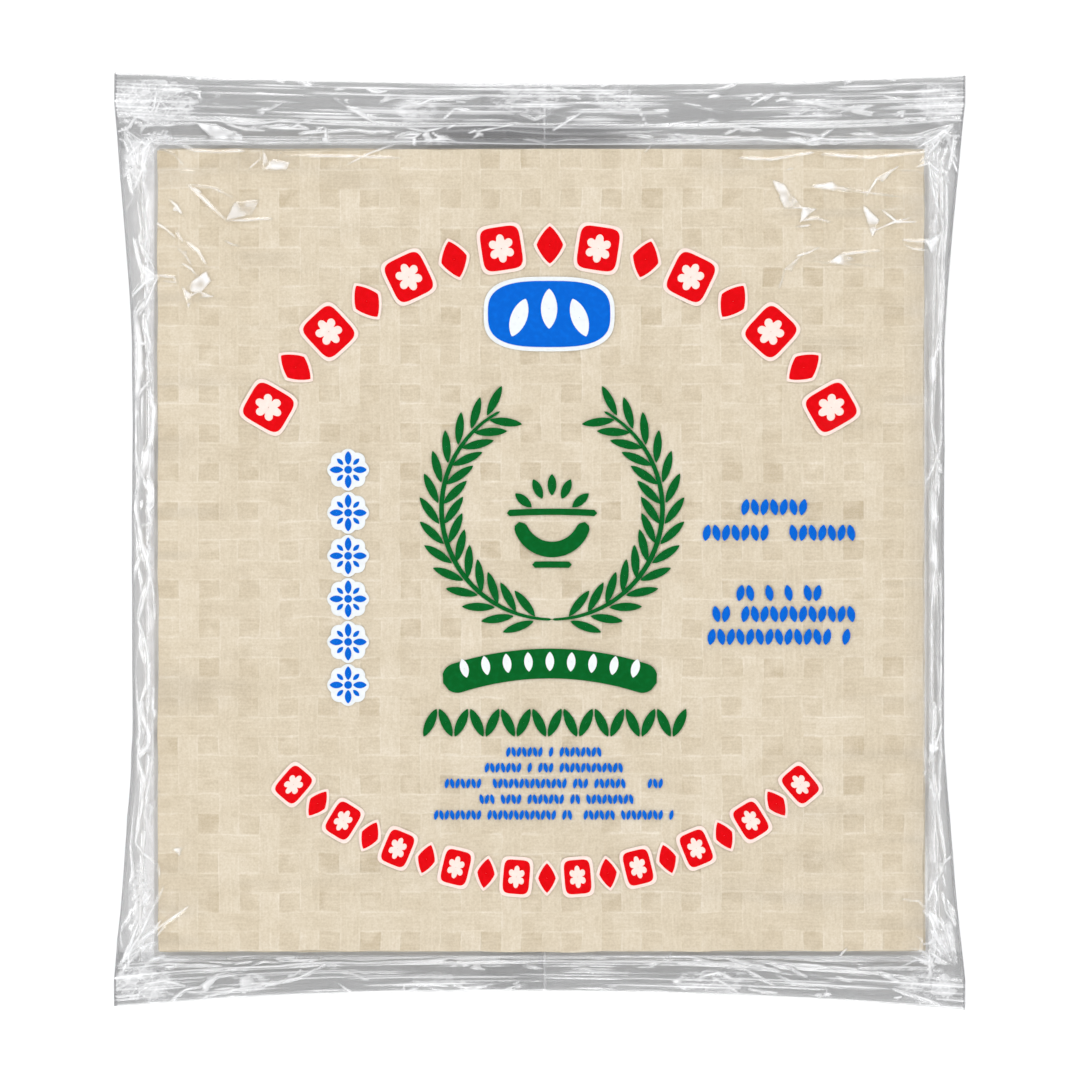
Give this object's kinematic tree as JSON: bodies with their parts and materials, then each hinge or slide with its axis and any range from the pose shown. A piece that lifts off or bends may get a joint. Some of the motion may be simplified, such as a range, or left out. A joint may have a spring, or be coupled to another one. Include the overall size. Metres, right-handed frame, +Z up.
{
  "type": "rice paper wrapper stack",
  "caption": "Square stack of dry rice paper wrappers sealed in a clear film bag with crimped ends and a plain red, blue and green print.",
  "frame": {"origin": "bottom centre of the bag, on the surface it lies on", "axes": "+Z up, out of the printed face; +Y along the bag towards the crimped end with the deeper seal; +X to the right of the printed face"},
  "size_m": [0.241, 0.2642, 0.0129],
  "materials": {
    "clear_film": "thin clear glossy film, crinkled at the edges, with the cream papers showing through",
    "rice_paper": "matt cream, slightly see-through, with a woven mat pattern pressed in",
    "red_ink": "flat gloss ink on film",
    "blue_ink": "flat gloss ink on film",
    "green_ink": "flat gloss ink on film",
    "white_ink": "flat gloss ink on film"
  },
  "bodies": {
    "root": {"sealed_bag": "clear_film"}
  },
  "joints": []
}
